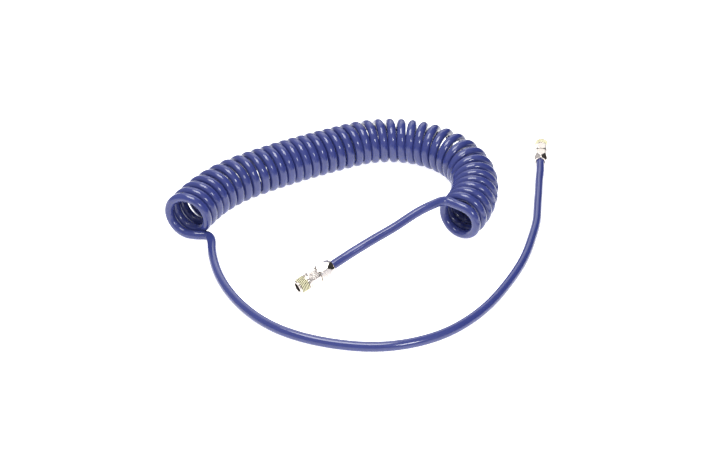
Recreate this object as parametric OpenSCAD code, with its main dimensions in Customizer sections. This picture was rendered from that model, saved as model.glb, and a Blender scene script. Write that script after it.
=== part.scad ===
// Coiled polyurethane air hose with a swivel fitting, male R1/4 thread, on each leg.
// Millimetres. The hose lies on the plane z = 0. X runs along its longest extent and Z is up.
// The hose is one piece. It is drawn as a chain of lengths, so that it can bend and stretch.

/* [Hose] */
// Outside diameter of the hose
hose_od = 8; // [6:0.5:10]
// Inside diameter of the hose
hose_id = 5; // [3.5:0.5:5.5]
// Mean diameter of the coil, measured between hose centres
coil_mean_d = 35; // [28:1:44]

/* [Fitting] */
// Width across the flats of both hexagons
hex_af = 14; // [13:0.5:19]
// Length of the union nut
nut_length = 14; // [13:0.5:20]
// Length of the union nut's tapered end
nut_taper_length = 4.5; // [2:0.5:7]
// Length of the threaded body's hexagon
body_hex_length = 9; // [8:0.5:14]
// Length of the smooth neck between hexagon and male thread
neck_length = 1.5; // [1:0.5:4]
// Outside diameter of the male thread
thread_d = 13.157; // [12.5:0.1:17]
// Length of the male thread with its chamfer
thread_length = 9.5; // [8:0.5:16]
// Diameter of the open bore in the male thread
mouth_bore_d = 8.4; // [6:0.2:8.8]
// Diameter of the journal that turns in the threaded body
journal_d = 8; // [7:0.2:8.4]
// Wall of the barbed nipple that the hose is pushed over
nipple_wall = 0.7; // [0.4:0.1:1]

/* [Clearances] */
// Radial clearance of the turning journal
running_clearance = 0.05; // [0.02:0.01:0.1]
// Radial clearance between the hose and the union nut
hose_clearance = 0.15; // [0.05:0.05:0.3]
// Gap at each side of the stem's collar
face_gap = 0.2; // [0.1:0.05:0.4]

/* [Hidden] */
$fn = 64;

hose_blue = [0.25, 0.28, 0.58];
nickel = [0.78, 0.77, 0.75];
sealant_cream = [0.93, 0.89, 0.66];
seal_black = [0.1, 0.1, 0.1];
ring_steel = [0.6, 0.6, 0.62];

// ---- the fitting's sizes, along its own +X axis from the union nut's end face to the open thread ----
hose_grip = nut_length - 5.5;
hose_socket_r = hose_od / 2 + hose_clearance;
nipple_r = hose_id / 2 + 0.1;
air_way_r = nipple_r - nipple_wall;
nipple_inset = 0.5;
union_thread_wall = 0.85;
union_thread_r = hose_socket_r + union_thread_wall;
collar_r = union_thread_r + 0.9;
collar_start = nut_length + face_gap;
collar_length = 0.8;
journal_start = collar_start + collar_length;
journal_r = journal_d / 2;
journal_length = body_hex_length - 1.5;
journal_end = journal_start + journal_length;
body_start = journal_start + face_gap;
body_hex_end = body_start + body_hex_length;
thread_start = body_hex_end + neck_length;
thread_end = thread_start + thread_length;
thread_r = thread_d / 2;
thread_chamfer = 1;
neck_r = thread_r - 0.4;
web_start = journal_end + face_gap;
web_length = 2;
web_bore_r = 2.5;
socket_r = journal_r + running_clearance;
sealant_depth = 0.18;
sealant_start = thread_start + 1.5;
sealant_length = thread_length - 3.5;
snap_groove_start = journal_start + 1.4;
snap_groove_width = 1.1;
snap_ring_width = 0.8;
snap_inner_r = journal_r - 0.65;
snap_outer_r = journal_r + 0.65;
snap_gap_width = 2;
o_ring_section_r = 0.55;
o_ring_mean_r = socket_r - o_ring_section_r - 0.025;
o_ring_groove_r = o_ring_mean_r - o_ring_section_r - 0.025;
o_ring_groove_start = journal_start + 4.2;
o_ring_groove_width = 1.6;
hex_corner_r = hex_af / 2 / cos(30);
hex_chamfer_r = hex_af / 2 + 0.35;
hex_chamfer = 1;
nut_nose_r = hose_socket_r + 1.35;

// ---- the coil: arcs laid end to end on the floor, each one [length, turn to the left in degrees] ----
coil_start = [-160.5, 1];
coil_heading = 67;
coil_arcs = [[23, -4], [60, -28], [60, -7], [50, -3], [50, -33], [40, -30], [60, -49], [66, -42]];
coil_r = (coil_mean_d + hose_od) / 2;
coil_axis_z = coil_r;
coil_top_z = coil_axis_z + coil_mean_d / 2;

function heading(i) = i == 0 ? coil_heading : heading(i - 1) + coil_arcs[i - 1][1];
function arc_radius(i) = coil_arcs[i][0] / (coil_arcs[i][1] * PI / 180);
function left_of(angle) = [-sin(angle), cos(angle)];
function arc_centre(i) = arc_point(i) + arc_radius(i) * left_of(heading(i));
// The point where arc i starts
function arc_point(i) = i == 0
    ? coil_start
    : arc_centre(i - 1) - arc_radius(i - 1) * left_of(heading(i));

coil_end = arc_point(len(coil_arcs));
coil_end_heading = heading(len(coil_arcs));

// ---- the fittings lie on the floor: the way each one points is [turn about Z, rise] ----
long_fitting_aim = [80, 0];
short_fitting_aim = [216, -11];
long_fitting_z = max(hex_af / 2, thread_r);
short_fitting_z = thread_r * cos(short_fitting_aim[1])
    - (thread_end - thread_chamfer) * sin(short_fitting_aim[1]);

// ---- the legs: points on the hose's centre line, from the coil outwards ----
leg_r = hose_od / 2;
floor_z = leg_r;
long_leg_route = [
    [coil_start.x, coil_start.y, floor_z], [coil_start.x + 4, coil_start.y - 1.5, floor_z],
    [-151, -1.5, floor_z], [-146, -1.5, floor_z], [-142, -2.5, floor_z], [-139, -6.5, floor_z],
    [-137.5, -12, floor_z], [-136.5, -20, floor_z], [-133, -37, floor_z], [-128, -53, floor_z],
    [-120, -71, floor_z], [-109, -89, floor_z], [-93, -108, floor_z], [-73, -124, floor_z],
    [-50, -135, floor_z], [-24, -142, floor_z], [3, -144.5, floor_z], [30, -140.5, floor_z],
    [54, -131, floor_z], [78, -113.5, floor_z], [96, -94, floor_z], [113, -69, floor_z],
    [125, -48, floor_z], [135, -26, floor_z], [143, -3, floor_z], [150, 21, floor_z],
    [154, 43, floor_z], [158, 65, floor_z], [162, 88, floor_z + 0.5], [164.5, 101, floor_z + 2],
    [166, 112, long_fitting_z]];
short_leg_route = [
    [coil_end.x, coil_end.y, coil_top_z], [coil_end.x - 4, coil_end.y + 3.2, coil_top_z],
    [66, 5, coil_top_z], [56, 1, coil_top_z - 0.7], [46, -4.5, coil_top_z - 3.2],
    [35, -11, coil_top_z - 7], [22, -20, 28], [8, -28.5, 23.8], [-6, -37.5, 19.6],
    [-19, -46, 16], [-32, -56, short_fitting_z]];

// First and last route point of each length of a leg
long_leg_spans = [[0, 7], [7, 9], [9, 18], [18, 20], [20, 30]];
short_leg_spans = [[0, 3], [3, 5], [5, 10]];

// Where each fitting starts, at the union nut's end face
long_fitting_at = long_leg_route[len(long_leg_route) - 1];
short_fitting_at = short_leg_route[len(short_leg_route) - 1];

function aim_vector(aim) = [cos(aim[1]) * cos(aim[0]), cos(aim[1]) * sin(aim[0]), sin(aim[1])];

// ---- sweeping a tube along a route ----
tube_sides = 12;
function unit(v) = v / norm(v);
// The way the route runs at point i; its last point follows the fitting
function way_at(route, i, last_way) =
    i == len(route) - 1 ? last_way
    : i == 0 ? unit(route[1] - route[0])
    : unit(unit(route[i + 1] - route[i]) + unit(route[i] - route[i - 1]));
function ring(centre, way, r) =
    let (side = unit(cross(way, [0, 0, 1])), up = cross(side, way))
    [for (k = [0 : tube_sides - 1])
        centre + r * (cos(360 * (k + 0.5) / tube_sides) * side + sin(360 * (k + 0.5) / tube_sides) * up)];

module swept_tube(route, span, last_way, r) {
    count = span[1] - span[0] + 1;
    points = [for (i = [span[0] : span[1]]) each ring(route[i], way_at(route, i, last_way), r)];
    sides = [for (j = [0 : count - 2], k = [0 : tube_sides - 1])
        let (a = j * tube_sides + k, b = j * tube_sides + (k + 1) % tube_sides)
        [a, b, b + tube_sides, a + tube_sides]];
    start_cap = [for (k = [tube_sides - 1 : -1 : 0]) k];
    end_cap = [for (k = [0 : tube_sides - 1]) (count - 1) * tube_sides + k];
    color(hose_blue) polyhedron(points, concat(sides, [start_cap, end_cap]));
}

// One arc of the coil, as a solid of the coil's outside diameter
module coil_arc(i) {
    turn = coil_arcs[i][1];
    radius = arc_radius(i);
    from = heading(i) - 90 * sign(turn);
    color(hose_blue)
        translate([arc_centre(i).x, arc_centre(i).y, coil_axis_z])
            rotate([0, 0, min(from, from + turn)])
                rotate_extrude(angle = abs(turn), $fn = 180)
                    translate([abs(radius), 0]) circle(r = coil_r);
}

module long_leg(k) {
    swept_tube(long_leg_route, long_leg_spans[k], aim_vector(long_fitting_aim), leg_r);
}

module short_leg(k) {
    swept_tube(short_leg_route, short_leg_spans[k], aim_vector(short_fitting_aim), leg_r);
}

// ---- the fitting, drawn along its own +X axis ----
// A round bar or bore along +X
module bar(from, length, r) {
    translate([from, 0, 0]) rotate([0, 90, 0]) cylinder(h = length, r = r);
}

// A body of revolution about +X from [x, r] points
module turned(profile) {
    rotate([0, 90, 0]) rotate_extrude() polygon([for (p = profile) [p[1], p[0]]]);
}

// A hexagonal bar along +X with a flat facing down
module hex_bar(from, length) {
    translate([from, 0, 0])
        rotate([0, 90, 0])
            rotate([0, 0, 30])
                cylinder(h = length, r = hex_corner_r, $fn = 6);
}

module place_fitting(at, aim) {
    translate(at) rotate([0, -aim[1], aim[0]]) children();
}

module hose_end() {
    color(hose_blue)
        difference() {
            bar(0, hose_grip, hose_od / 2);
            bar(-1, hose_grip + 2, nipple_r);
        }
}

module union_nut() {
    color(nickel)
        difference() {
            intersection() {
                hex_bar(0, nut_length);
                turned([
                    [0, 0], [0, nut_nose_r], [nut_taper_length, hex_corner_r],
                    [nut_length - hex_chamfer, hex_corner_r], [nut_length, hex_chamfer_r],
                    [nut_length, 0]]);
            }
            bar(-1, nut_length, hose_socket_r);
            bar(hose_grip, nut_length, union_thread_r + running_clearance);
        }
}

module swivel_stem() {
    color(nickel)
        difference() {
            turned([
                [nipple_inset, 0], [nipple_inset, nipple_r], [hose_grip, nipple_r],
                [hose_grip, union_thread_r], [collar_start, union_thread_r],
                [collar_start, collar_r], [journal_start, collar_r],
                [journal_start, journal_r], [journal_end, journal_r], [journal_end, 0]]);
            bar(-1, journal_end + 2, air_way_r);
            difference() {
                bar(snap_groove_start, snap_groove_width, journal_r + 1);
                bar(snap_groove_start - 1, snap_groove_width + 2, snap_inner_r - running_clearance);
            }
            difference() {
                bar(o_ring_groove_start, o_ring_groove_width, journal_r + 1);
                bar(o_ring_groove_start - 1, o_ring_groove_width + 2, o_ring_groove_r);
            }
        }
}

module o_ring() {
    color(seal_black)
        translate([o_ring_groove_start + o_ring_groove_width / 2, 0, 0])
            rotate([0, 90, 0])
                rotate_extrude() translate([o_ring_mean_r, 0]) circle(r = o_ring_section_r, $fn = 32);
}

module snap_ring() {
    ring_start = snap_groove_start + (snap_groove_width - snap_ring_width) / 2;
    color(ring_steel)
        difference() {
            bar(ring_start, snap_ring_width, snap_outer_r);
            bar(ring_start - 1, snap_ring_width + 2, snap_inner_r);
            translate([ring_start - 1, -snap_gap_width / 2, 0])
                cube([snap_ring_width + 2, snap_gap_width, snap_outer_r + 1]);
        }
}

module threaded_body() {
    color(nickel)
        difference() {
            union() {
                intersection() {
                    hex_bar(body_start, body_hex_length);
                    turned([
                        [body_start, 0], [body_start, hex_chamfer_r],
                        [body_start + hex_chamfer, hex_corner_r],
                        [body_hex_end - hex_chamfer, hex_corner_r], [body_hex_end, hex_chamfer_r],
                        [body_hex_end, 0]]);
                }
                turned([
                    [web_start, 0], [web_start, neck_r], [thread_start, neck_r],
                    [thread_start, thread_r], [thread_end - thread_chamfer, thread_r],
                    [thread_end, thread_r - thread_chamfer], [thread_end, 0]]);
            }
            difference() {
                bar(sealant_start, sealant_length, thread_r + 1);
                bar(sealant_start - 1, sealant_length + 2, thread_r - sealant_depth);
            }
            bar(body_start - 1, web_start - body_start + 1, socket_r);
            bar(snap_groove_start, snap_groove_width, snap_outer_r + 2 * running_clearance);
            bar(body_start, thread_end, web_bore_r);
            bar(web_start + web_length, thread_end, mouth_bore_d / 2);
        }
}

module thread_sealant() {
    color(sealant_cream)
        difference() {
            bar(sealant_start, sealant_length, thread_r);
            bar(sealant_start - 1, sealant_length + 2, thread_r - sealant_depth);
        }
}

module at_long_fitting() place_fitting(long_fitting_at, long_fitting_aim) children();
module at_short_fitting() place_fitting(short_fitting_at, short_fitting_aim) children();

coil_arc(0);  // coil_end_left
coil_arc(1);  // coil_stretch_zone
coil_arc(2);  // coil_run_left
coil_arc(3);  // coil_run_right
coil_arc(4);  // coil_bend_zone_1
coil_arc(5);  // coil_shoulder
coil_arc(6);  // coil_bend_zone_2
coil_arc(7);  // coil_end_right
long_leg(0);  // long_leg_root
long_leg(1);  // long_leg_bend_zone_1
long_leg(2);  // long_leg_near
long_leg(3);  // long_leg_bend_zone_2
long_leg(4);  // long_leg_far
short_leg(0);  // short_leg_root
short_leg(1);  // short_leg_bend_zone
short_leg(2);  // short_leg_tube
at_long_fitting() hose_end();  // long_hose_end
at_long_fitting() union_nut();  // long_union_nut
at_long_fitting() swivel_stem();  // long_swivel_stem
at_long_fitting() o_ring();  // long_o_ring
at_long_fitting() snap_ring();  // long_snap_ring
at_long_fitting() threaded_body();  // long_threaded_body
at_long_fitting() thread_sealant();  // long_thread_sealant
at_short_fitting() hose_end();  // short_hose_end
at_short_fitting() union_nut();  // short_union_nut
at_short_fitting() swivel_stem();  // short_swivel_stem
at_short_fitting() o_ring();  // short_o_ring
at_short_fitting() snap_ring();  // short_snap_ring
at_short_fitting() threaded_body();  // short_threaded_body
at_short_fitting() thread_sealant();  // short_thread_sealant
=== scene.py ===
"""A coiled polyurethane air hose with a swivel pipe fitting on each leg, lying on a studio table."""

import logging
import math
from collections.abc import Sequence
from dataclasses import dataclass
from enum import Enum

import bpy
import numpy as np
from mathutils import Euler, Matrix, Vector


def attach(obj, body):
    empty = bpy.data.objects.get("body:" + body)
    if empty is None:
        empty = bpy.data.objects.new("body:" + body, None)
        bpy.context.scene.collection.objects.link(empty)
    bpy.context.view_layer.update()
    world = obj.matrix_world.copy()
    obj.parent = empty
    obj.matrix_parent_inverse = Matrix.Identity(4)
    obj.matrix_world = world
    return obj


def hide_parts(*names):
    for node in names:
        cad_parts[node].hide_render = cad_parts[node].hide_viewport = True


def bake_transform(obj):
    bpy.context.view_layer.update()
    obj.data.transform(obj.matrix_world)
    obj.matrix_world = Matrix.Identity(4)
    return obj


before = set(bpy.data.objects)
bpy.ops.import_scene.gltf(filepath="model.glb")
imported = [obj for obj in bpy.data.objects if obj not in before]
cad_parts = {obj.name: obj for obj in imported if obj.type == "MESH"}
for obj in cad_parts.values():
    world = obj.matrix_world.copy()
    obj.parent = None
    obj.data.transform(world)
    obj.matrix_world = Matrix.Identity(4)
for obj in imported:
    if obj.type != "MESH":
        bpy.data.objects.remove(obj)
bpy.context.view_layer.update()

MM = 0.001
Array = np.ndarray
# An edge that turns by more than this is drawn sharp.
SHARP_EDGE = math.radians(38)
# Points round a turned piece, and steps of the hose inside a nut.
ROUND_SIDES, GRIP_RINGS = 144, 6
# Less than this is nothing.
NEAR = 1e-9
log = logging.getLogger("coiled_air_hose")


# ---------------------------------------------------------------- small tools


def linear(colour: str) -> tuple[float, float, float, float]:
    """Turn an sRGB hex colour into the linear colour that a shader takes.

    Args:
        colour: Six hex digits, such as "41489a".

    Returns:
        Red, green, blue and a full alpha.
    """
    parts = [int(colour[i:i + 2], 16) / 255 for i in (0, 2, 4)]
    red, green, blue = (c / 12.92 if c <= 0.04045 else ((c + 0.055) / 1.055) ** 2.4 for c in parts)
    return red, green, blue, 1.0


def add_node(tree: bpy.types.NodeTree, kind: str, settings: dict | None = None,
             links: dict | None = None) -> bpy.types.Node:
    """Add a shader node with its settings and links.

    Args:
        tree: The node tree it goes into.
        kind: The node's type name.
        settings: Values by property name or by input name.
        links: Output sockets by the name of the input they feed.

    Returns:
        The new node.
    """
    node = tree.nodes.new(kind)
    for name, value in (settings or {}).items():
        if isinstance(name, str) and hasattr(node, name):
            setattr(node, name, value)
        else:
            node.inputs[name].default_value = value
    for name, socket in (links or {}).items():
        tree.links.new(socket, node.inputs[name])
    return node


def unit(vectors: Array) -> Array:
    """Scale each vector to a length of one."""
    return vectors / np.linalg.norm(vectors, axis=-1, keepdims=True)


def ease(values: Array) -> Array:
    """Rise smoothly from 0 to 1, flat at both ends."""
    held = np.clip(values, 0.0, 1.0)
    return held * held * (3.0 - 2.0 * held)


def chord_lengths(points: Array) -> Array:
    """Running length along a line of points."""
    return np.concatenate([[0.0], np.cumsum(np.linalg.norm(np.diff(points, axis=0), axis=1))])


def spline(knots: Array, values: Array, at: Array, start: Array | None = None,
           end: Array | None = None) -> Array:
    """Run a cubic with smooth curvature through some values.

    Args:
        knots: Where each value is reached, rising.
        values: The values, one row per knot.
        at: Where the curve is wanted.
        start: The slope at the first knot, or None for a free end.
        end: The slope at the last knot, or None for a free end.

    Returns:
        One row of values for each wanted place.
    """
    count, step = len(knots), np.diff(knots)
    rise = np.diff(values, axis=0) / step[:, None]
    matrix, right = np.zeros((count, count)), np.zeros_like(values, dtype=float)
    for i in range(1, count - 1):
        matrix[i, i - 1:i + 2] = step[i], 2 * (step[i - 1] + step[i]), step[i - 1]
        right[i] = 3 * (step[i] * rise[i - 1] + step[i - 1] * rise[i])
    for row, inner, slope, given in ((0, 1, rise[0], start), (-1, -2, rise[-1], end)):
        matrix[row, row] = 1.0 if given is not None else 2.0
        matrix[row, inner] = 0.0 if given is not None else 1.0
        right[row] = given if given is not None else 3 * slope
    slopes = np.linalg.solve(matrix, right)
    i = np.clip(np.searchsorted(knots, at, side="right") - 1, 0, count - 2)
    width = step[i][:, None]
    t = ((at - knots[i]) / step[i])[:, None]
    return (values[i] * (1 + 2 * t) * (1 - t) ** 2 + values[i + 1] * t * t * (3 - 2 * t)
            + width * slopes[i] * t * (1 - t) ** 2 + width * slopes[i + 1] * t * t * (t - 1))


def add_mesh(name: str, points: Array, faces: Sequence[Sequence[int]],
             material: bpy.types.Material) -> bpy.types.Object:
    """Make a smooth-shaded mesh object, with its place in its mesh.

    Args:
        name: The piece's name.
        points: Its points in the row frame, in metres.
        faces: Its faces, as point numbers.
        material: The finish it wears.

    Returns:
        The new object, linked to the scene.
    """
    mesh = bpy.data.meshes.new(name)
    mesh.from_pydata(points.tolist(), [], faces)
    mesh.materials.append(material)
    mesh.polygons.foreach_set("use_smooth", np.ones(len(mesh.polygons), bool))
    mesh.update()
    piece = bpy.data.objects.new(name, mesh)
    bpy.context.scene.collection.objects.link(piece)
    log.info("%s: %d points, %d faces", name, len(mesh.vertices), len(mesh.polygons))
    return piece


def ring_faces(rings: int, sides: int, closed: bool) -> list[tuple[int, ...]]:
    """Join neighbouring rings of points with four-sided faces.

    Args:
        rings: How many rings there are.
        sides: How many points each ring has.
        closed: True where the last ring joins the first one.

    Returns:
        The faces, as point numbers.
    """
    faces = []
    for j in range(rings if closed else rings - 1):
        near, far = j * sides, (j + 1) % rings * sides
        for k in range(sides):
            after = (k + 1) % sides
            faces.append((near + k, far + k, far + after, near + after))
    return faces


# ---------------------------------------------------------------- finishes


def start_material(name: str) -> tuple[bpy.types.Material, bpy.types.NodeTree, bpy.types.Node]:
    """Start a material.

    Args:
        name: The finish's common name.

    Returns:
        The material, its node tree and its shader.
    """
    material = bpy.data.materials.new(name)
    material.use_nodes = True
    tree = material.node_tree
    return material, tree, tree.nodes["Principled BSDF"]


@dataclass(frozen=True)
class Polyurethane:
    """Extruded polyether polyurethane tube, dyed through.

    It is glossy and faintly milky: the dye shows deep blue where light falls on it and nearly black in the
    folds, a soft haze of handling breaks up the gloss, and shallow die lines run along the tube.

    Attributes:
        dye: Its colour where it looks palest.
        deep_dye: Its colour where it looks deepest.
        ior: Its index of refraction.
        gloss: The roughness of its cleanest and of its haziest patches.
        haze: How large those patches are.
        haze_range: The part of the haze's noise that the roughness follows.
        die_line: How wide the die lines are.
        line_height: How far they stand up.
        line_share: How strongly they show.
        line_squeeze: How much slower they change along the tube than across it.
    """

    dye: str = "333b74"
    deep_dye: str = "2b3266"
    ior: float = 1.5
    gloss: tuple[float, float] = (0.09, 0.17)
    haze: float = 14 * MM
    haze_range: tuple[float, float] = (0.35, 0.7)
    # Real die lines are about 0.1 mm wide; these are coarser, so that they show.
    die_line: float = 0.9 * MM
    line_height: float = 0.012 * MM
    line_share: float = 0.2
    line_squeeze: float = 0.04

    def build(self) -> bpy.types.Material:
        """Make the material; its patterns follow the tube's own coordinate, made with the tube.

        Returns:
            The material.
        """
        material, tree, shader = start_material("polyurethane")
        shader.inputs["IOR"].default_value = self.ior
        own = add_node(tree, "ShaderNodeAttribute", {"attribute_name": Hose.COORDINATE})
        drawn_out = add_node(tree, "ShaderNodeVectorMath",
                             {"operation": "MULTIPLY", 1: (1.0, 1.0, self.line_squeeze)},
                             {0: own.outputs["Vector"]})
        lines = add_node(tree, "ShaderNodeTexNoise", {"Scale": 1 / self.die_line, "Detail": 3.0},
                         {"Vector": drawn_out.outputs["Vector"]})
        cloud = add_node(tree, "ShaderNodeTexNoise",
                         {"Scale": 1 / self.haze, "Detail": 4.0, "Roughness": 0.6},
                         {"Vector": own.outputs["Vector"]})
        tint = add_node(tree, "ShaderNodeMix",
                        {"data_type": "RGBA", 6: linear(self.deep_dye), 7: linear(self.dye)},
                        {0: cloud.outputs["Fac"]})
        tree.links.new(tint.outputs[2], shader.inputs["Base Color"])
        dull = add_node(tree, "ShaderNodeMapRange",
                        {"From Min": self.haze_range[0], "From Max": self.haze_range[1],
                         "To Min": self.gloss[0], "To Max": self.gloss[1]},
                        {"Value": cloud.outputs["Fac"]})
        tree.links.new(dull.outputs["Result"], shader.inputs["Roughness"])
        bump = add_node(tree, "ShaderNodeBump",
                        {"Strength": self.line_share, "Distance": self.line_height},
                        {"Height": lines.outputs["Fac"]})
        tree.links.new(bump.outputs["Normal"], shader.inputs["Normal"])
        return material


@dataclass(frozen=True)
class NickelPlatedBrass:
    """Turned and milled brass with a bright nickel plate.

    The plate is a warm silver with clouds of light wear. Turning marks run round the axis and stretch each
    reflection across them.

    Attributes:
        plate: The plate's colour.
        worn_plate: Its colour where it is worn.
        wear: How large the worn clouds are.
        wear_range: The part of the clouds' noise that the roughness follows.
        gloss: The roughness of the brightest and of the dullest plate.
        tool_mark: How wide the turning marks are.
        mark_height: How far they stand up.
        mark_share: How strongly they show.
        mark_squeeze: How much slower they change round the axis than along it.
    """

    plate: str = "d6d0ca"
    worn_plate: str = "c4bcb3"
    wear: float = 3 * MM
    wear_range: tuple[float, float] = (0.35, 0.65)
    gloss: tuple[float, float] = (0.13, 0.26)
    # A real tool leaves marks about 0.1 mm wide; these are coarser, so that they show.
    tool_mark: float = 0.3 * MM
    mark_height: float = 0.006 * MM
    mark_share: float = 0.3
    mark_squeeze: float = 0.06

    def build(self) -> bpy.types.Material:
        """Make the material; its turning marks follow the fitting's own coordinate.

        Returns:
            The material.
        """
        material, tree, shader = start_material("nickel_plated_brass")
        shader.inputs["Metallic"].default_value = 1.0
        own = add_node(tree, "ShaderNodeAttribute", {"attribute_name": LatheShell.COORDINATE})
        across = add_node(tree, "ShaderNodeVectorMath",
                          {"operation": "MULTIPLY", 1: (1.0, self.mark_squeeze, self.mark_squeeze)},
                          {0: own.outputs["Vector"]})
        marks = add_node(tree, "ShaderNodeTexNoise", {"Scale": 1 / self.tool_mark, "Detail": 2.0},
                         {"Vector": across.outputs["Vector"]})
        cloud = add_node(tree, "ShaderNodeTexNoise", {"Scale": 1 / self.wear, "Detail": 3.0},
                         {"Vector": own.outputs["Vector"]})
        tint = add_node(tree, "ShaderNodeMix",
                        {"data_type": "RGBA", 6: linear(self.plate), 7: linear(self.worn_plate)},
                        {0: cloud.outputs["Fac"]})
        tree.links.new(tint.outputs[2], shader.inputs["Base Color"])
        dull = add_node(tree, "ShaderNodeMapRange",
                        {"From Min": self.wear_range[0], "From Max": self.wear_range[1],
                         "To Min": self.gloss[0], "To Max": self.gloss[1]},
                        {"Value": cloud.outputs["Fac"]})
        tree.links.new(dull.outputs["Result"], shader.inputs["Roughness"])
        bump = add_node(tree, "ShaderNodeBump",
                        {"Strength": self.mark_share, "Distance": self.mark_height},
                        {"Height": marks.outputs["Fac"]})
        tree.links.new(bump.outputs["Normal"], shader.inputs["Normal"])
        return material


@dataclass(frozen=True)
class ThreadSealant:
    """Dry micro-capsule thread sealant, brushed on and cured.

    It is a cream, chalky coat with small lumps where capsules gathered; in the thread's roots a painted
    shade darkens it, so a thin dark line winds round it.

    Attributes:
        coat: Its colour where it is thick.
        thin_coat: Its colour where it is thin.
        root: The painted shade laid into the thread's roots.
        ior: Its index of refraction.
        roughness: How chalky it is.
        lump: How large its lumps are.
        lump_height: How far they stand up.
        lump_share: How strongly they show.
    """

    DEPTH = "thread_depth"

    coat: str = "f2eecb"
    thin_coat: str = "e2dcae"
    # A painted shade: the dark colour laid into the thread's roots, where shade falls.
    root: str = "3c3a2a"
    ior: float = 1.48
    roughness: float = 0.62
    lump: float = 0.5 * MM
    lump_height: float = 0.06 * MM
    lump_share: float = 0.7

    def build(self) -> bpy.types.Material:
        """Make the material; its painted shade lines follow the coat's own record of the thread's depth.

        Returns:
            The material.
        """
        material, tree, shader = start_material("thread_sealant")
        shader.inputs["IOR"].default_value = self.ior
        shader.inputs["Roughness"].default_value = self.roughness
        place = add_node(tree, "ShaderNodeTexCoord")
        lumps = add_node(tree, "ShaderNodeTexNoise", {"Scale": 1 / self.lump, "Detail": 3.0},
                         {"Vector": place.outputs["Object"]})
        tint = add_node(tree, "ShaderNodeMix",
                        {"data_type": "RGBA", 6: linear(self.thin_coat), 7: linear(self.coat)},
                        {0: lumps.outputs["Fac"]})
        depth = add_node(tree, "ShaderNodeAttribute", {"attribute_name": self.DEPTH})
        # Painted shade: the coat turns to the dark root colour where the thread is deepest.
        root_shade_mix = add_node(tree, "ShaderNodeMix", {"data_type": "RGBA", 7: linear(self.root)},
                         {0: depth.outputs["Fac"], 6: tint.outputs[2]})
        tree.links.new(root_shade_mix.outputs[2], shader.inputs["Base Color"])
        bump = add_node(tree, "ShaderNodeBump",
                        {"Strength": self.lump_share, "Distance": self.lump_height},
                        {"Height": lumps.outputs["Fac"]})
        tree.links.new(bump.outputs["Normal"], shader.inputs["Normal"])
        return material


@dataclass(frozen=True)
class NitrileRubber:
    """Moulded nitrile rubber of an O-ring.

    It is black, and a thin film of grease gives it a dull, uneven sheen.

    Attributes:
        black: The bare rubber's colour.
        grey: Its colour under the thickest grease.
        ior: Its index of refraction.
        sheen: The roughness of its greasiest and of its driest patches.
        film: How large those patches are.
    """

    black: str = "17181a"
    grey: str = "24262a"
    ior: float = 1.52
    sheen: tuple[float, float] = (0.35, 0.6)
    film: float = 1.5 * MM

    def build(self) -> bpy.types.Material:
        """Make the material.

        Returns:
            The material.
        """
        material, tree, shader = start_material("nitrile_rubber")
        shader.inputs["IOR"].default_value = self.ior
        place = add_node(tree, "ShaderNodeTexCoord")
        film = add_node(tree, "ShaderNodeTexNoise", {"Scale": 1 / self.film, "Detail": 2.0},
                        {"Vector": place.outputs["Object"]})
        tint = add_node(tree, "ShaderNodeMix",
                        {"data_type": "RGBA", 6: linear(self.black), 7: linear(self.grey)},
                        {0: film.outputs["Fac"]})
        tree.links.new(tint.outputs[2], shader.inputs["Base Color"])
        dull = add_node(tree, "ShaderNodeMapRange", {"To Min": self.sheen[0], "To Max": self.sheen[1]},
                        {"Value": film.outputs["Fac"]})
        tree.links.new(dull.outputs["Result"], shader.inputs["Roughness"])
        return material


@dataclass(frozen=True)
class SpringSteel:
    """Drawn spring steel wire of a snap ring.

    It is a dark, even grey with fine draw marks in it.

    Attributes:
        steel: The wire's colour.
        dark_steel: Its colour in the draw marks.
        roughness: How rough it is.
        draw_mark: How large the marks are.
    """

    steel: str = "8f9196"
    dark_steel: str = "6f7176"
    roughness: float = 0.32
    # Real draw marks are about 0.05 mm wide; these are coarser, so that they show.
    draw_mark: float = 0.4 * MM

    def build(self) -> bpy.types.Material:
        """Make the material.

        Returns:
            The material.
        """
        material, tree, shader = start_material("spring_steel")
        shader.inputs["Metallic"].default_value = 1.0
        shader.inputs["Roughness"].default_value = self.roughness
        place = add_node(tree, "ShaderNodeTexCoord")
        draw = add_node(tree, "ShaderNodeTexNoise", {"Scale": 1 / self.draw_mark, "Detail": 2.0},
                        {"Vector": place.outputs["Object"]})
        tint = add_node(tree, "ShaderNodeMix",
                        {"data_type": "RGBA", 6: linear(self.dark_steel), 7: linear(self.steel)},
                        {0: draw.outputs["Fac"]})
        tree.links.new(tint.outputs[2], shader.inputs["Base Color"])
        return material


@dataclass(frozen=True)
class StudioTable:
    """White acrylic of a light table.

    It is lit from below: it leaves no shadow, and it lights the undersides of what lies on it.

    Attributes:
        white: Its colour, and that of its light.
        roughness: How frosted it is.
        specular: How much less than a bare plastic it reflects.
        glow: How brightly it is lit.
    """

    white: str = "f6f6f6"
    roughness: float = 0.6
    specular: float = 0.2
    glow: float = 0.98

    def build(self) -> bpy.types.Material:
        """Make the material.

        Returns:
            The material.
        """
        material, _, shader = start_material("studio_table")
        shader.inputs["Base Color"].default_value = linear(self.white)
        shader.inputs["Roughness"].default_value = self.roughness
        shader.inputs["Specular IOR Level"].default_value = self.specular
        shader.inputs["Emission Color"].default_value = linear(self.white)
        shader.inputs["Emission Strength"].default_value = self.glow
        return material


@dataclass(frozen=True)
class Finishes:
    """The materials of the whole model, made once."""

    hose: bpy.types.Material
    metal: bpy.types.Material
    sealant: bpy.types.Material
    rubber: bpy.types.Material
    steel: bpy.types.Material


# ---------------------------------------------------------------- the coil's line


@dataclass(frozen=True)
class Arc:
    """One arc of the coil's axis on the table.

    Attributes:
        length: Its length, in metres.
        bend: How far it turns to the left, in degrees.
        turns: How many turns of hose lie along it.
    """

    length: float
    bend: float
    turns: float


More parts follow.
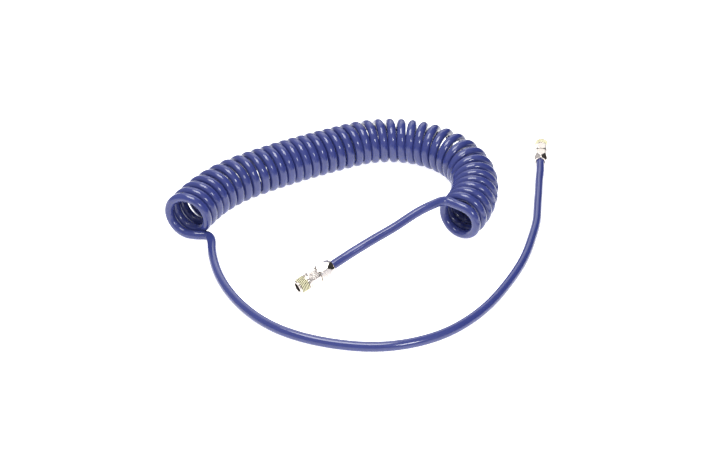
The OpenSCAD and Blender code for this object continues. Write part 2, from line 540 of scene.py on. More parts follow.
COIL_ARCS = (
    Arc(23 * MM, -4, 2.3), Arc(60 * MM, -28, 5.57), Arc(60 * MM, -7, 6.48), Arc(50 * MM, -3, 5.4),
    Arc(50 * MM, -33, 4.87), Arc(40 * MM, -30, 3.75), Arc(60 * MM, -49, 4.7), Arc(66 * MM, -42, 6.43))


@dataclass(frozen=True)
class Coil:
    """The coil: a right-handed helix round an axis of arcs, lying on the table.

    Attributes:
        start: Where the axis starts, on the table.
        heading: Which way it starts, in degrees from +X.
        mean_radius: From the axis to the middle of the hose.
        half_thickness: Half the hose's size towards the axis, where the bend flattens it.
        half_width: Half its size along the axis, where the bend widens it.
        sag: How far the last turn's top hangs down where the short leg pulls on it.
        sag_turns: How much of the last turn hangs down.
        arcs: The axis, arc by arc.
        rings_per_turn: How finely each turn is drawn.
    """

    start: tuple[float, float] = (-160.5 * MM, 1 * MM)
    heading: float = 67.0
    mean_radius: float = 17.75 * MM
    half_thickness: float = 3.75 * MM
    half_width: float = 4.3 * MM
    sag: float = 3.6 * MM
    sag_turns: float = 0.3
    arcs: tuple[Arc, ...] = COIL_ARCS
    rings_per_turn: int = 60

    @property
    def axis_height(self) -> float:
        """Height of the axis above the table."""
        return self.mean_radius + self.half_thickness

    def corners(self) -> tuple[Array, Array, Array]:
        """Find where the arcs meet.

        Returns:
            The running length, the point and the heading in radians at each arc's start, and at the end.
        """
        along, points, headings = [0.0], [np.array(self.start)], [math.radians(self.heading)]
        for arc in self.arcs:
            points.append(self.on_arc(points[-1], headings[-1], arc, np.array([arc.length]))[0][0])
            headings.append(headings[-1] + math.radians(arc.bend))
            along.append(along[-1] + arc.length)
        return np.array(along), np.array(points), np.array(headings)

    @staticmethod
    def on_arc(point: Array, heading: float, arc: Arc, along: Array) -> tuple[Array, Array]:
        """Follow one arc.

        Args:
            point: Where the arc starts.
            heading: Which way it starts, in radians.
            arc: The arc.
            along: How far to go along it, one value for each point wanted.

        Returns:
            The points and the headings there.
        """
        radius = arc.length / math.radians(arc.bend)
        turned = heading + along / radius
        centre = point + radius * np.array([-math.sin(heading), math.cos(heading)])
        return centre - radius * np.stack([-np.sin(turned), np.cos(turned)], axis=1), turned

    def axis(self, along: Array) -> tuple[Array, Array]:
        """Find points on the axis.

        Args:
            along: Running lengths from the coil's start.

        Returns:
            The points on the table and the headings in radians.
        """
        at, points, headings = self.corners()
        index = np.clip(np.searchsorted(at, along, side="right") - 1, 0, len(self.arcs) - 1)
        places, ways = np.zeros((len(along), 2)), np.zeros(len(along))
        for i, arc in enumerate(self.arcs):
            here = index == i
            places[here], ways[here] = self.on_arc(points[i], headings[i], arc, along[here] - at[i])
        return places, ways

    def line(self) -> tuple[Array, Array]:
        """Wind the hose's middle line round the axis, from its start at the bottom to its end at the top.

        Returns:
            The points in space, and how far along the axis each one is.
        """
        wound = np.concatenate([[0.0], np.cumsum([arc.turns for arc in self.arcs])])
        turns = np.linspace(0.0, wound[-1], round(wound[-1] * self.rings_per_turn) + 1)
        along = spline(wound, self.corners()[0][:, None], turns)[:, 0]
        places, ways = self.axis(along)
        angle = 2 * math.pi * turns - math.pi / 2
        left = np.stack([-np.sin(ways), np.cos(ways)], axis=1)
        flat = places + self.mean_radius * np.cos(angle)[:, None] * left
        height = self.axis_height + self.mean_radius * np.sin(angle)
        height -= self.sag * ease((turns - turns[-1] + self.sag_turns) / self.sag_turns) ** 2
        return np.column_stack([flat, height]), along


# ---------------------------------------------------------------- turned and milled pieces


class Surface(Enum):
    """How a ring of a turned piece is shaped."""

    ROUND = "round"
    HEXAGON = "hexagon"
    THREAD = "thread"


@dataclass(frozen=True)
class Corner:
    """One corner of a turned piece's outline, and the rings from it to the next corner.

    Attributes:
        along: How far along the axis it is.
        radius: Its distance from the axis, in front of which a hexagon's corners are cut off.
        rings: How many rings are drawn from here to the next corner.
        surface: How those rings are shaped.
        half_flats: Half of the hexagon's size across its flats.
        half_nose: Half the size across the oblique flats that are milled over the hexagon's edges; where
            there are none, it is more than the hexagon's own size.
    """

    along: float
    radius: float
    rings: int = 1
    surface: Surface = Surface.ROUND
    half_flats: float = 7 * MM
    half_nose: float = 20 * MM


@dataclass(frozen=True)
class PipeThread:
    """An R1/4 taper thread: 19 threads to the inch, 55 degree flanks, and a taper of 1 in 16.

    Attributes:
        start: Where it starts, along the fitting.
        end: Where it ends, at the fitting's open end.
        radius: Its radius over the crests, at its start.
        pitch: How far apart its crests are.
        depth: How deep it is cut.
        run_out: The length over which the cut fades out at its start.
        chamfer: The size of the chamfer at its end.
        taper: How much its diameter shrinks along its length.
        flank: How much steeper its flanks are than those of a thread with no flat crests or roots.
    """

    start: float
    end: float
    radius: float
    pitch: float = 1.337 * MM
    depth: float = 0.8 * MM
    run_out: float = 0.7 * MM
    chamfer: float = 1.0 * MM
    taper: float = 1 / 16
    flank: float = 1.25

    def surface(self, along: Array, angle: Array, filled: float = 0.0) -> Array:
        """Give the thread's radius.

        Args:
            along: How far along the fitting each point is.
            angle: Where round the axis each point is, in radians.
            filled: How much of its depth is filled in, from 0 to 1.

        Returns:
            The radius at each point.
        """
        phase = np.mod((along - self.start) / self.pitch - angle / (2 * math.pi), 1.0)
        slope = self.flank * (1.0 - np.abs(2.0 * phase - 1.0)) - (self.flank - 1.0) / 2
        cut = self.depth * (1.0 - filled) * ease(slope) * ease((along - self.start) / self.run_out)
        taper = (along - self.start) * self.taper / 2
        cone = self.radius - np.clip(along - (self.end - self.chamfer), 0.0, None)
        return np.minimum(self.radius - taper - cut, cone)


@dataclass(frozen=True)
class LatheShell:
    """A closed piece made from bar: rings of points in a loop, each one round, hexagonal or threaded.

    Attributes:
        outline: Its corners in order; the last one joins the first one.
        thread: The thread of the rings that have one.
        turn: How far its hexagon is turned from lying flat, in degrees.
        sides: How many points each ring has.
        edge: How sharp the hexagon's edges are; more is sharper.
    """

    COORDINATE = "lathe_place"
    PLANES = 12

    outline: tuple[Corner, ...]
    thread: PipeThread
    turn: float = 0.0
    sides: int = ROUND_SIDES
    edge: float = 70.0

    def ring(self, along: float, radius: float, half_flats: float, half_nose: float,
             surface: Surface) -> Array:
        """Draw one ring round the +X axis.

        Args:
            along: How far along the axis it is.
            radius: Its radius, or where a hexagon's corners are cut off.
            half_flats: Half of the hexagon's size across its flats.
            half_nose: Half the size across the flats over its edges.
            surface: How it is shaped.

        Returns:
            Its points.
        """
        angle = 2 * math.pi * (np.arange(self.sides) + 0.5) / self.sides
        around = np.full(self.sides, radius)
        if surface is Surface.THREAD:
            around = self.thread.surface(np.full(self.sides, along), angle)
        elif surface is Surface.HEXAGON:
            reach = np.full(self.sides, radius ** -self.edge)
            for k in range(self.PLANES):
                flat = half_nose if k % 2 else half_flats
                facing = np.cos(angle - math.radians(self.turn) - 2 * math.pi * k / self.PLANES)
                reach += (np.clip(facing, 0.0, None) / flat) ** self.edge
            around = reach ** (-1 / self.edge)
        return np.stack([np.full(self.sides, along), around * np.sin(angle), around * np.cos(angle)], axis=1)

    def build(self, name: str, place: Matrix, material: bpy.types.Material) -> bpy.types.Object:
        """Make the piece.

        Args:
            name: Its name.
            place: Where the fitting lies.
            material: Its finish.

        Returns:
            The new object.
        """
        rings = []
        for corner, after in zip(self.outline, self.outline[1:] + self.outline[:1]):
            for share in np.arange(corner.rings) / corner.rings:
                rings.append(self.ring(corner.along + share * (after.along - corner.along),
                                       corner.radius + share * (after.radius - corner.radius),
                                       corner.half_flats + share * (after.half_flats - corner.half_flats),
                                       corner.half_nose + share * (after.half_nose - corner.half_nose),
                                       corner.surface))
        return place_shell(name, rings, place, material)


def place_shell(name: str, rings: list[Array], place: Matrix,
                material: bpy.types.Material) -> bpy.types.Object:
    """Close a loop of rings into a piece, where the fitting lies.

    Args:
        name: The piece's name.
        rings: Its rings of points round the fitting's +X axis.
        place: Where the fitting lies.
        material: The piece's finish.

    Returns:
        The new object, which keeps its own coordinate for the turning marks.
    """
    own = np.concatenate(rings)
    points = own @ np.array(place.to_3x3()).T + np.array(place.translation)
    piece = add_mesh(name, points, ring_faces(len(rings), len(rings[0]), True), material)
    piece.data.set_sharp_from_angle(angle=SHARP_EDGE)
    mark_place(piece, LatheShell.COORDINATE, own)
    return piece


def mark_place(piece: bpy.types.Object, name: str, values: Array) -> None:
    """Store a coordinate of its own on each point of a piece, for its finish's patterns."""
    attribute = piece.data.attributes.new(name, "FLOAT_VECTOR", "POINT")
    attribute.data.foreach_set("vector", values.astype(np.float32).ravel())


# ---------------------------------------------------------------- the swivel fittings


@dataclass(frozen=True)
class SealantCoat:
    """The sealant on a thread: it fills the roots a little and ends in a wavering edge.

    Attributes:
        thread: The thread that it lies on.
        start_gap: How far from the thread's start it begins.
        end_gap: How far from the thread's end it stops.
        waver: How far its edges waver.
        waves: The waves of its edges: how many go round, the share of each one, and its phase.
        thickness: How thick it lies on the crests.
        bite: How far its edges bite into the thread, so that no gap shows under them.
        edge: How steeply its edges rise; more is steeper.
        filled: How much of the thread's depth it fills.
        backing: How far its inner side lies under the thread's roots.
        rings: How many rings it has outside.
        inner_step: How many of them go by for each ring inside.
    """

    thread: PipeThread
    start_gap: float = 1.1 * MM
    end_gap: float = 1.3 * MM
    waver: float = 0.22 * MM
    waves: tuple[tuple[int, float, float], ...] = ((3, 1.0, 1.0), (7, 0.6, 0.0), (13, 0.4, 2.0))
    thickness: float = 0.1 * MM
    bite: float = 0.01 * MM
    edge: float = 14.0
    filled: float = 0.3
    backing: float = 0.35 * MM
    rings: int = 130
    inner_step: int = 13

    def build(self, name: str, place: Matrix, material: bpy.types.Material) -> bpy.types.Object:
        """Make the coat, with its own record of the thread's depth for its painted shade lines.

        Args:
            name: Its name.
            place: Where the fitting lies.
            material: Its finish.

        Returns:
            The new object.
        """
        thread = self.thread
        angle = 2 * math.pi * (np.arange(ROUND_SIDES) + 0.5) / ROUND_SIDES
        waver = self.waver * sum(share * np.sin(count * angle + phase) for count, share, phase in self.waves)
        first = thread.start + self.start_gap + waver
        last = thread.end - self.end_gap + waver[::-1]
        shares = np.linspace(0.0, 1.0, self.rings)
        rings, depths = [], []
        for share in shares:
            along = first + share * (last - first)
            coat = self.thickness * ease(np.array([share, 1 - share]).min() * self.edge) - self.bite
            around = thread.surface(along, angle, filled=self.filled) + coat
            depths.append((thread.surface(along, angle, filled=1.0) + coat - around)
                          / ((1 - self.filled) * thread.depth))
            rings.append(np.stack([along, around * np.sin(angle), around * np.cos(angle)], axis=1))
        for share in shares[::-self.inner_step]:
            along = first + share * (last - first)
            around = np.full(len(angle), thread.radius - thread.depth - self.backing)
            depths.append(np.ones(len(angle)))
            rings.append(np.stack([along, around * np.sin(angle), around * np.cos(angle)], axis=1))
        piece = place_shell(name, rings, place, material)
        # The thread's depth sets where the coat's painted shade falls in the roots.
        attribute = piece.data.attributes.new(ThreadSealant.DEPTH, "FLOAT", "POINT")
        attribute.data.foreach_set("value", ease(np.concatenate(depths)).astype(np.float32))
        return piece


class Leg(Enum):
    """The hose's two legs, by the word that starts the names of their nodes."""

    LONG = "long"
    SHORT = "short"


@dataclass(frozen=True)
class SwivelFitting:
    """A swivel fitting: a union nut on the hose, and a threaded body that turns on the stem's journal.

    Attributes:
        leg: The leg it is on.
        x: Where the union nut's end face is.
        y: The same, across.
        yaw: Which way it points, in degrees from +X.
        rise: How far it points up, in degrees.
        body: The CAD body that the nut and the stem ride on.
        thread_body: The CAD body that turns.
        nut_turn: How far the nut's hexagon is turned from lying flat, in degrees.
        body_turn: The same for the threaded body's hexagon.
        nut_length: The union nut's length.
        taper_length: How much of it is milled to a nose, towards the hose.
        nose: Half the size across the nose's oblique flats, at its end.
        nut_corner: The radius to which the nut's corners are turned.
        body_corner: The same for the threaded body.
        half_flats: Half the size across both hexagons' flats.
        hose_grip: How far the hose goes into the nut.
        socket: The radius of the hole for the hose.
        union_bore: The radius of the nut's bore behind it.
        body_start: Where the threaded body starts.
        body_end: Where its hexagon ends.
        neck: The radius of its neck.
        thread_start: Where its pipe thread starts.
        thread_end: Where the fitting ends.
        thread_radius: The thread's radius over its crests.
        thread_chamfer: The chamfer at its end.
        journal_bore: The radius of the bore in which the stem's journal turns.
        web_start: Where the web at the end of that bore starts.
        web_end: Where the web ends.
        web_bore: The radius of the air's way through it.
        mouth_bore: The radius of the open end's bore.
        mouth_chamfer: The chamfer of its rim.
        hex_chamfer: How long the hexagons' rounded chamfers are.
        chamfer_step: How far a chamfer's steps lie in from the hexagon's own surface.
        clear: What keeps one cut of the nut's nose just clear of the next one.
        break_edge: The size of a broken edge.
    """

    leg: Leg
    x: float
    y: float
    yaw: float
    rise: float
    body: str
    thread_body: str
    nut_turn: float = 0.0
    body_turn: float = 0.0

    nut_length: float = 14 * MM
    taper_length: float = 7.5 * MM
    nose: float = 5.1 * MM
    nut_corner: float = 8.0 * MM
    body_corner: float = 8.3 * MM
    half_flats: float = 7 * MM
    hose_grip: float = 8.5 * MM
    socket: float = 4.15 * MM
    union_bore: float = 5.05 * MM
    body_start: float = 15.2 * MM
    body_end: float = 24.2 * MM
    neck: float = 6.18 * MM
    thread_start: float = 25.7 * MM
    thread_end: float = 35.2 * MM
    thread_radius: float = 6.5785 * MM
    thread_chamfer: float = 1.0 * MM
    journal_bore: float = 4.05 * MM
    web_start: float = 22.7 * MM
    web_end: float = 24.7 * MM
    web_bore: float = 2.5 * MM
    mouth_bore: float = 4.2 * MM
    mouth_chamfer: float = 0.35 * MM
    hex_chamfer: float = 1.1 * MM
    chamfer_step: float = 0.3 * MM
    clear: float = 0.2 * MM
    break_edge: float = 0.25 * MM

    @property
    def z(self) -> float:
        """Find the height of the union nut's end, with the fitting lying on the table.

        Returns:
            The height: that of a flat hexagon, or one at which a fitting that dips rests on its thread.
        """
        tip = math.radians(-self.rise)
        reach = self.thread_end - self.thread_chamfer
        lying = self.thread_radius * math.cos(tip) + reach * math.sin(tip)
        return max(self.half_flats, self.thread_radius) if self.rise == 0 else lying

    @property
    def way(self) -> Array:
        """The way the fitting points, from the hose to its open thread."""
        yaw, rise = math.radians(self.yaw), math.radians(self.rise)
        return np.array([math.cos(rise) * math.cos(yaw), math.cos(rise) * math.sin(yaw), math.sin(rise)])

    @property
    def start(self) -> Array:
        """The middle of the union nut's end face."""
        return np.array([self.x, self.y, self.z])

    @property
    def place(self) -> Matrix:
        """Takes the fitting's own axes to where it lies."""
        yaw, rise = math.radians(self.yaw), math.radians(self.rise)
        return Matrix.LocRotScale(Vector(self.start), Euler((0.0, -rise, yaw)), None)

    @property
    def thread(self) -> PipeThread:
        """The male pipe thread."""
        return PipeThread(self.thread_start, self.thread_end, self.thread_radius,
                          chamfer=self.thread_chamfer)

    def node(self, part: str) -> str:
        """Name the CAD node of one of this fitting's parts."""
        return f"{self.leg.value}_{part}"

    def nut(self) -> LatheShell:
        """Draw the union nut: a hexagon with oblique flats milled over its edges, towards the hose.

        Returns:
            The nut's shell.
        """
        edge, clear, flats = self.break_edge, self.clear, self.half_flats
        nose, full, hexed = self.nose, self.nut_corner, Surface.HEXAGON
        return LatheShell((
            Corner(self.hose_grip, self.socket),
            Corner(edge, self.socket, 2),
            Corner(0.0, self.socket + edge),
            Corner(0.0, nose - edge, 3, half_nose=nose),
            Corner(edge, nose + 3 * clear, 2, hexed, flats, nose),
            Corner(2 * edge, full, 24, hexed, flats, nose + clear),
            Corner(self.taper_length, full, 1, hexed, flats, full + clear),
            Corner(self.taper_length + edge, full, 6, hexed, flats),
            Corner(self.nut_length - self.hex_chamfer, full - clear / 2, 6, hexed, flats),
            Corner(self.nut_length, flats + clear, 1, hexed, flats),
            Corner(self.nut_length, self.union_bore + edge),
            Corner(self.nut_length - edge, self.union_bore, 2),
            Corner(self.hose_grip, self.union_bore, 2)), self.thread, self.nut_turn)

    def threaded_body(self) -> LatheShell:
        """Draw the threaded body: a hexagon with rounded chamfers, a neck, the pipe thread and an open bore.

        Returns:
            The body's shell.
        """
        edge, step, flats, full = self.break_edge, self.chamfer_step, self.half_flats, self.body_corner
        chamfer, hexed, rings = self.hex_chamfer, Surface.HEXAGON, 150
        return LatheShell((
            Corner(self.body_start, self.journal_bore, 2),
            Corner(self.body_start, flats - step, 2),
            Corner(self.body_start, flats + step / 2, 4, hexed),
            Corner(self.body_start + chamfer, full - step, 3, hexed),
            Corner(self.body_start + 2 * chamfer, full, 6, hexed),
            Corner(self.body_end - 2 * chamfer, full, 3, hexed),
            Corner(self.body_end - chamfer, full - step, 4, hexed),
            Corner(self.body_end, flats + step / 2, 1, hexed),
            Corner(self.body_end, flats - step, 2),
            Corner(self.body_end, self.neck + edge, 2),
            Corner(self.body_end + edge, self.neck, 3),
            Corner(self.thread_start - edge, self.neck, 2),
            Corner(self.thread_start, self.thread_radius, rings, Surface.THREAD),
            Corner(self.thread_end, self.thread_radius - self.thread_chamfer, 3),
            Corner(self.thread_end, self.mouth_bore + self.mouth_chamfer, 4),
            Corner(self.thread_end - self.mouth_chamfer, self.mouth_bore, 8),
            Corner(self.web_end, self.mouth_bore, 4),
            Corner(self.web_end, self.web_bore, 3),
            Corner(self.web_start, self.web_bore, 3),
            Corner(self.web_start, self.journal_bore, 4)), self.thread, self.body_turn)

    def build(self, finishes: Finishes) -> list[bpy.types.Object]:
        """Make and dress the whole fitting.

        Args:
            finishes: The materials.

        Returns:
            Its separate pieces, CAD nodes among them, from the hose outwards.
        """
        nut = self.nut().build(self.node("nut"), self.place, finishes.metal)
        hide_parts(self.node("union_nut"))
        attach(nut, self.body)
        stub = self.threaded_body().build(self.node("pipe_thread"), self.place, finishes.metal)
        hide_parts(self.node("threaded_body"))
        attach(stub, self.thread_body)
        coat = SealantCoat(self.thread).build(self.node("sealant_coat"), self.place, finishes.sealant)
        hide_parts(self.node("thread_sealant"))
        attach(coat, self.thread_body)
        kept = {"swivel_stem": finishes.metal, "o_ring": finishes.rubber, "snap_ring": finishes.steel}
        pieces = [nut]
        for part, material in kept.items():
            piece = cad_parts[self.node(part)]
            piece.material_slots[0].material = material
            pieces.append(piece)
        return [*pieces, stub, coat]


# ---------------------------------------------------------------- the hose


# The legs' routes, from the coil outwards, in millimetres.
LONG_ROUTE = (
    (-156.5, -0.5, 4), (-151, -1.5, 4), (-146, -1.5, 4), (-142, -2.5, 4), (-139, -6.5, 4), (-137.5, -12, 4),
    (-136.5, -20, 4), (-133, -37, 4), (-128, -53, 4), (-120, -71, 4), (-109, -89, 4), (-93, -108, 4),
    (-73, -124, 4), (-50, -135, 4), (-24, -142, 4), (3, -144.5, 4), (30, -140.5, 4), (54, -131, 4),
    (78, -113.5, 4), (96, -94, 4), (113, -69, 4), (125, -48, 4), (135, -26, 4), (143, -3, 4), (150, 21, 4),
    (154, 43, 4), (158, 65, 4), (162, 88, 4.5), (164.5, 101, 6))
SHORT_LEAVING = (-4, 3.2, 0)
SHORT_ROUTE = (
    (66, 5, 36.2), (56, 1, 35.9), (46, -4.5, 34.2), (35, -11, 31.0), (22, -20, 27.1), (8, -28.5, 23.3),
    (-6, -37.5, 19.7), (-19, -46, 16))

# Points of a leg's route, counted from the coil: where a length of hose ends, and where the leg gives way.
LONG_ROOT_END, LONG_ROOT_BEND, LONG_SPLIT, LONG_BEND = 3, 8, 14, 19
LONG_ROOT_BEND_REACH, LONG_BEND_REACH = 25 * MM, 54 * MM
SHORT_BEND_START, SHORT_BEND_END = 3, 5


@dataclass(frozen=True)
class Bend:
    """Where the hose gives way between two CAD bodies.

    Attributes:
        first: The body that the hose follows before the bend.
        second: The body that it follows after the bend.
        start: Where the bend starts, along the hose.
        end: Where it ends.
        even: True where the hose gives way evenly, as a stretched coil does.
    """

    first: str
    second: str
    start: float
    end: float
    even: bool = False

    def share(self, along: Array) -> Array:
        """How far each point has gone over to the second body, from 0 to 1."""
        share = np.clip((along - self.start) / (self.end - self.start), 0.0, 1.0)
        return share if self.even else ease(share)


@dataclass(frozen=True)
class HoseLine:
    """The middle line of the whole hose, from the long leg's fitting to the short leg's fitting.

    Attributes:
        points: Its points.
        along: The running length at each point.
        long_marks: The running length at each point of the long leg's route, from the coil outwards.
        coil_marks: The running length where each arc of the coil starts, and where the last one ends.
        short_marks: The running length at each point of the short leg's route.
    """

    points: Array
    along: Array
    long_marks: Array
    coil_marks: Array
    short_marks: Array

    @staticmethod
    def leg(route: Array, first_way: Array, fitting: SwivelFitting, step: float) -> tuple[Array, Array]:
        """Draw a leg from the coil into its fitting.

        Args:
            route: The leg's points, from the coil's end to the union nut's end face.
            first_way: The way the hose leaves the coil.
            fitting: The fitting it runs into.
            step: How far apart the points are to be.

        Returns:
            The line's points without the first one, and the running length at each point of the route.
        """
        knots = chord_lengths(route)
        fine = np.linspace(0.0, knots[-1], round(knots[-1] / step) + 1)
        points = spline(knots, route, fine, first_way, fitting.way)
        marks = np.interp(knots, fine, chord_lengths(points))
        inside = np.arange(1, GRIP_RINGS + 1)[:, None] * fitting.hose_grip / GRIP_RINGS
        return np.concatenate([points[1:], fitting.start + inside * fitting.way]), marks

    @classmethod
    def draw(cls, coil: Coil, long_fitting: SwivelFitting, short_fitting: SwivelFitting,
             step: float = 1.5 * MM) -> "HoseLine":
        """Draw the whole line.

        Args:
            coil: The coil.
            long_fitting: The long leg's fitting.
            short_fitting: The short leg's fitting.
            step: How far apart the legs' points are to be.

        Returns:
            The line.
        """
        wound, axis_along = coil.line()
        first_way, last_way = unit(wound[0] - wound[1]), unit(wound[-1] - wound[-2])
        long_route = np.concatenate([wound[:1], np.array(LONG_ROUTE) * MM, [long_fitting.start]])
        leaving = wound[-1] + np.array(SHORT_LEAVING) * MM
        short_route = np.concatenate([wound[-1:], [leaving], np.array(SHORT_ROUTE) * MM,
                                      [short_fitting.start]])
        long_leg, long_marks = cls.leg(long_route, first_way, long_fitting, step)
        short_leg, short_marks = cls.leg(short_route, last_way, short_fitting, step)
        points = np.concatenate([long_leg[::-1], wound, short_leg])
        along = chord_lengths(points)
        coil_from, coil_to = along[len(long_leg)], along[len(long_leg) + len(wound) - 1]
        within = along[len(long_leg):len(long_leg) + len(wound)]
        coil_marks = np.interp(coil.corners()[0], axis_along, within)
        return cls(points, along, coil_from - long_marks, coil_marks, coil_to + short_marks)


@dataclass
class Hose:
    """The hose: one unbroken tube, made in lengths, each standing in for some CAD nodes.

    Attributes:
        line: Its middle line.
        coil: The coil, in which the hose is a little oval, as a bent tube is.
        material: Its finish.
        radius: Half its outside diameter.
        bore: Half its inside diameter, where the nipple holds it open.
        sides: How many points each ring has.
    """

    COORDINATE = "hose_place"

    line: HoseLine
    coil: Coil
    material: bpy.types.Material
    radius: float = 4 * MM
    bore: float = 2.6 * MM
    sides: int = 32

    def __post_init__(self) -> None:
        """Carry one pair of axes along the whole line without twisting it."""
        points = self.line.points
        self.ways = unit(np.gradient(points, axis=0))
        sides = np.zeros_like(points)
        side = np.cross(self.ways[0], (0.0, 0.0, 1.0))
        for i, way in enumerate(self.ways):
            side = side - way * (side @ way)
            side = side / np.linalg.norm(side)
            sides[i] = side
        self.sideways, self.upways = sides, np.cross(sides, self.ways)
        along, marks = self.line.along, self.line.coil_marks
        near_end = np.minimum(along - marks[0], marks[-1] - along)
        self.oval = ease(near_end / (math.pi * self.coil.mean_radius))
        bending = np.gradient(self.ways, axis=0)
        self.inward = bending / np.maximum(np.linalg.norm(bending, axis=1, keepdims=True), NEAR)

    def ring(self, i: int, radius: float) -> tuple[Array, Array]:
        """Draw one ring round a point of the line, round in the legs and a little oval in the coil.

        Args:
            i: The line's point.
            radius: The ring's radius, before the bend flattens it.

        Returns:
            Its points, and the way its surface faces at each one.
        """
        angle = 2 * math.pi * np.arange(self.sides) / self.sides
        across = np.cos(angle)[:, None] * self.sideways[i] + np.sin(angle)[:, None] * self.upways[i]
        wide = 1 + self.oval[i] * (self.coil.half_width / self.radius - 1)
        thin = 1 + self.oval[i] * (self.coil.half_thickness / self.radius - 1)
        towards = (across @ self.inward[i])[:, None] * self.inward[i]
        around = wide * (across - towards) + thin * towards
        return self.line.points[i] + radius * around, unit((across - towards) / wide + towards / thin)

    def length(self, name: str, start: float, end: float, bend: Bend, nodes: Sequence[str],
               open_end: int | None = None) -> bpy.types.Object:
        """Make one length of the hose.

        Args:
            name: The piece's name.
            start: Where it starts, along the whole hose.
            end: Where it ends.
            bend: Where it gives way between its two bodies; not used.
            nodes: The CAD nodes that it stands for.
            open_end: 0 or -1 for the end whose bore is open, or None where both ends run on.

        Returns:
            The new object.
        """
        chosen = np.flatnonzero((self.line.along >= start - NEAR) & (self.line.along <= end + NEAR))
        rings = [self.ring(i, self.radius) for i in chosen]
        indices = list(chosen)
        if open_end is not None:
            inner = chosen[:GRIP_RINGS + 1] if open_end == 0 else chosen[:-GRIP_RINGS - 2:-1]
            walls = [self.ring(i, self.bore) for i in inner]
            rings = [*walls[::-1], *rings] if open_end == 0 else [*rings, *walls]
            indices = [*inner[::-1], *indices] if open_end == 0 else [*indices, *inner]
        outer = [ring for ring, _ in rings]
        facing = np.concatenate([faces for _, faces in rings])
        points = np.concatenate(outer)
        faces = ring_faces(len(outer), self.sides, False)
        last = (len(outer) - 1) * self.sides
        faces += [tuple(range(self.sides)), tuple(range(last, last + self.sides))[::-1]]
        piece = add_mesh(name, points, faces, self.material)
        self.dress(piece, indices, facing)
        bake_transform(piece)
        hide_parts(*nodes)
        return piece

    def dress(self, piece: bpy.types.Object, indices: Sequence[int], facing: Array) -> None:
        """Give a length its exact round shading, and its own coordinate for the die lines.

        Args:
            piece: The length.
            indices: The line's point that each ring is drawn round.
            facing: The way its surface faces at each of its points.
        """
        piece.data.normals_split_custom_set_from_vertices(facing.tolist())
        angle = np.tile(2 * math.pi * np.arange(self.sides) / self.sides, len(indices))
        along = np.repeat(self.line.along[indices], self.sides)
        own = np.stack([self.radius * np.cos(angle), self.radius * np.sin(angle), along], axis=1)
        mark_place(piece, self.COORDINATE, own)


def make_hose(coil: Coil, long_fitting: SwivelFitting, short_fitting: SwivelFitting,
              long_pieces: list[bpy.types.Object], short_pieces: list[bpy.types.Object],
              material: bpy.types.Material) -> None:
    """Make the hose length by length, and hide the CAD nodes that each length stands for.

    Args:
        coil: The coil.
        long_fitting: The long leg's fitting.
        short_fitting: The short leg's fitting.
        long_pieces: The pieces of the long leg's fitting; not used.
        short_pieces: The pieces of the short leg's fitting; not used.
        material: The hose's finish.
    """
    line = HoseLine.draw(coil, long_fitting, short_fitting)
    hose = Hose(line, coil, material)
    long, arcs, short = line.long_marks, line.coil_marks, line.short_marks
    cuts = [0.0, long[LONG_SPLIT], long[LONG_ROOT_END], (arcs[2] + arcs[3]) / 2, (arcs[5] + arcs[6]) / 2,
            arcs[7] + (arcs[8] - arcs[7]) / 3, line.along[-1]]
    cuts = [float(line.along[np.abs(line.along - cut).argmin()]) for cut in cuts]
    bends = (
        Bend("long_leg_outer", "long_leg_inner",
             long[LONG_BEND] - LONG_BEND_REACH, long[LONG_BEND] + LONG_BEND_REACH),
        Bend("long_leg_inner", "coil_left",
             long[LONG_ROOT_BEND] - LONG_ROOT_BEND_REACH, long[LONG_ROOT_BEND] + LONG_ROOT_BEND_REACH),
        Bend("coil_left", "coil_main", arcs[1], arcs[2], even=True),
        Bend("coil_main", "coil_corner", arcs[4], arcs[5]),
        Bend("coil_corner", "coil_right", arcs[6], arcs[7]),
        Bend("coil_right", "short_leg", short[SHORT_BEND_START], short[SHORT_BEND_END]))
    names = ("hose_long_leg", "hose_long_leg_root", "hose_coil_left", "hose_coil_middle", "hose_coil_right",
             "hose_short_leg")
    nodes = (
        ("long_hose_end", "long_leg_far", "long_leg_bend_zone_2"),
        ("long_leg_near", "long_leg_bend_zone_1", "long_leg_root"),
        ("coil_end_left", "coil_stretch_zone", "coil_run_left"),
        ("coil_run_right", "coil_bend_zone_1", "coil_shoulder"),
        ("coil_bend_zone_2", "coil_end_right"),
        ("short_leg_root", "short_leg_bend_zone", "short_leg_tube", "short_hose_end"))
    ends = {0: (0, long_pieces), len(names) - 1: (-1, short_pieces)}
    for i, name in enumerate(names):
        open_end, fitted = ends.get(i, (None, ()))
        piece = hose.length(name, cuts[i], cuts[i + 1], bends[i], nodes[i], open_end)
    log.info("whole hose: %.3f m", line.along[-1])


# ---------------------------------------------------------------- the studio


@dataclass(frozen=True)
class Softbox:
    """A square studio light that faces a point.

    Attributes:
        name: Its name.
        place: Where it hangs, in metres.
        size: Its side, in metres.
        power: Its power, in watts.
        aim: The point that it faces.
    """

    name: str
    place: tuple[float, float, float]
    size: float
    power: float
    aim: tuple[float, float, float] = (0.0, 0.0, 0.02)

    def build(self) -> None:
        """Hang the light."""
        light = bpy.data.lights.new(self.name, "AREA")
        light.shape = "SQUARE"
        light.size = self.size
        light.energy = self.power
        lamp = bpy.data.objects.new(self.name, light)
        lamp.location = self.place
        lamp.rotation_euler = (Vector(self.aim) - Vector(self.place)).to_track_quat("-Z", "Y").to_euler()
        bpy.context.scene.collection.objects.link(lamp)


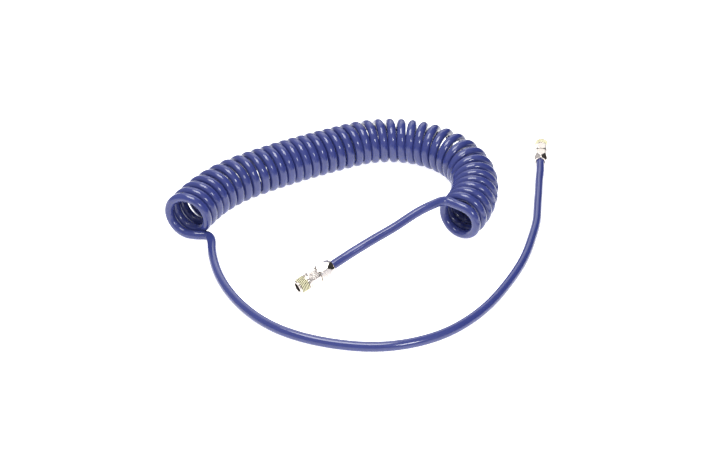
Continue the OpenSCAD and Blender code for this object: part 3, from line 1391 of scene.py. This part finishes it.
@dataclass(frozen=True)
class Studio:
    """The table, the lights, the surroundings and the camera.

    Attributes:
        table_half: Half the table's side, in metres.
        eye: Where the camera stands.
        aim: What it looks at.
        lens: Its focal length, in millimetres.
        clip_start: How near it still sees.
        pale_air: The colour of the surroundings.
        dark_air: Their colour on the dark side.
        dark_side: Which way the dark side lies.
        dark_range: How squarely a way faces the dark side where the dark begins, and where it is full.
        lights: The lights.
    """

    table_half: float = 4.0
    eye: tuple[float, float, float] = (-11 * MM, -724.7 * MM, 545.1 * MM)
    aim: tuple[float, float, float] = (-11 * MM, 4 * MM, 0.0)
    lens: float = 51.8
    clip_start: float = 10 * MM
    pale_air: str = "cdccd2"
    dark_air: str = "403f3c"
    dark_side: tuple[float, float, float] = (0.85, 0.5, 0.0)
    dark_range: tuple[float, float] = (0.25, 0.75)
    lights: tuple[Softbox, ...] = (
        Softbox("top_softbox", (-0.15, 0.0, 1.1), 0.6, 12.0),
        Softbox("back_softbox", (-0.32, 1.05, 1.15), 1.0, 4.5),
        Softbox("low_back_softbox", (0.3, 1.5, 0.9), 1.0, 4.5),
        Softbox("front_softbox", (0.5, -0.9, 0.8), 0.3, 6.0))

    def build(self) -> None:
        """Set up the table, the lights, the surroundings and the camera."""
        half = self.table_half
        corners = np.array([(-half, -half, 0), (half, -half, 0), (half, half, 0), (-half, half, 0)])
        add_mesh("table", corners, [(0, 1, 2, 3)], StudioTable().build())
        for light in self.lights:
            light.build()
        scene = bpy.context.scene
        scene.world = self.room()
        scene.view_settings.view_transform = "Standard"
        camera = bpy.data.cameras.new("camera")
        camera.lens = self.lens
        camera.clip_start = self.clip_start
        stand = bpy.data.objects.new("camera", camera)
        stand.location = self.eye
        stand.rotation_euler = (Vector(self.aim) - Vector(self.eye)).to_track_quat("-Z", "Y").to_euler()
        scene.collection.objects.link(stand)
        scene.camera = stand

    def room(self) -> bpy.types.World:
        """Make the surroundings: pale, with a dark side for the metal to reflect.

        Returns:
            The world.
        """
        world = bpy.data.worlds.new("studio")
        world.use_nodes = True
        tree = world.node_tree
        way = add_node(tree, "ShaderNodeTexCoord")
        side = add_node(tree, "ShaderNodeVectorMath", {"operation": "DOT_PRODUCT", 1: self.dark_side},
                        {0: way.outputs["Generated"]})
        share = add_node(tree, "ShaderNodeMapRange",
                         {"interpolation_type": "SMOOTHSTEP", "From Min": self.dark_range[0],
                          "From Max": self.dark_range[1]}, {"Value": side.outputs["Value"]})
        tint = add_node(tree, "ShaderNodeMix",
                        {"data_type": "RGBA", 6: linear(self.pale_air), 7: linear(self.dark_air)},
                        {0: share.outputs["Result"]})
        tree.links.new(tint.outputs[2], tree.nodes["Background"].inputs["Color"])
        return world


def main() -> None:
    """Build the studio, both fittings and the hose."""
    logging.basicConfig(level=logging.INFO, format="%(name)s: %(message)s")
    Studio().build()
    finishes = Finishes(Polyurethane().build(), NickelPlatedBrass().build(), ThreadSealant().build(),
                        NitrileRubber().build(), SpringSteel().build())
    long_fitting = SwivelFitting(Leg.LONG, x=166 * MM, y=112 * MM, yaw=80, rise=0,
                                 body="long_leg_outer", thread_body="long_thread")
    short_fitting = SwivelFitting(Leg.SHORT, x=-32 * MM, y=-56 * MM, yaw=216, rise=-11,
                                  body="short_leg", thread_body="short_thread", nut_turn=12, body_turn=30)
    long_pieces = long_fitting.build(finishes)
    short_pieces = short_fitting.build(finishes)
    make_hose(Coil(), long_fitting, short_fitting, long_pieces, short_pieces, finishes.hose)


if __name__ == "__main__":
    main()
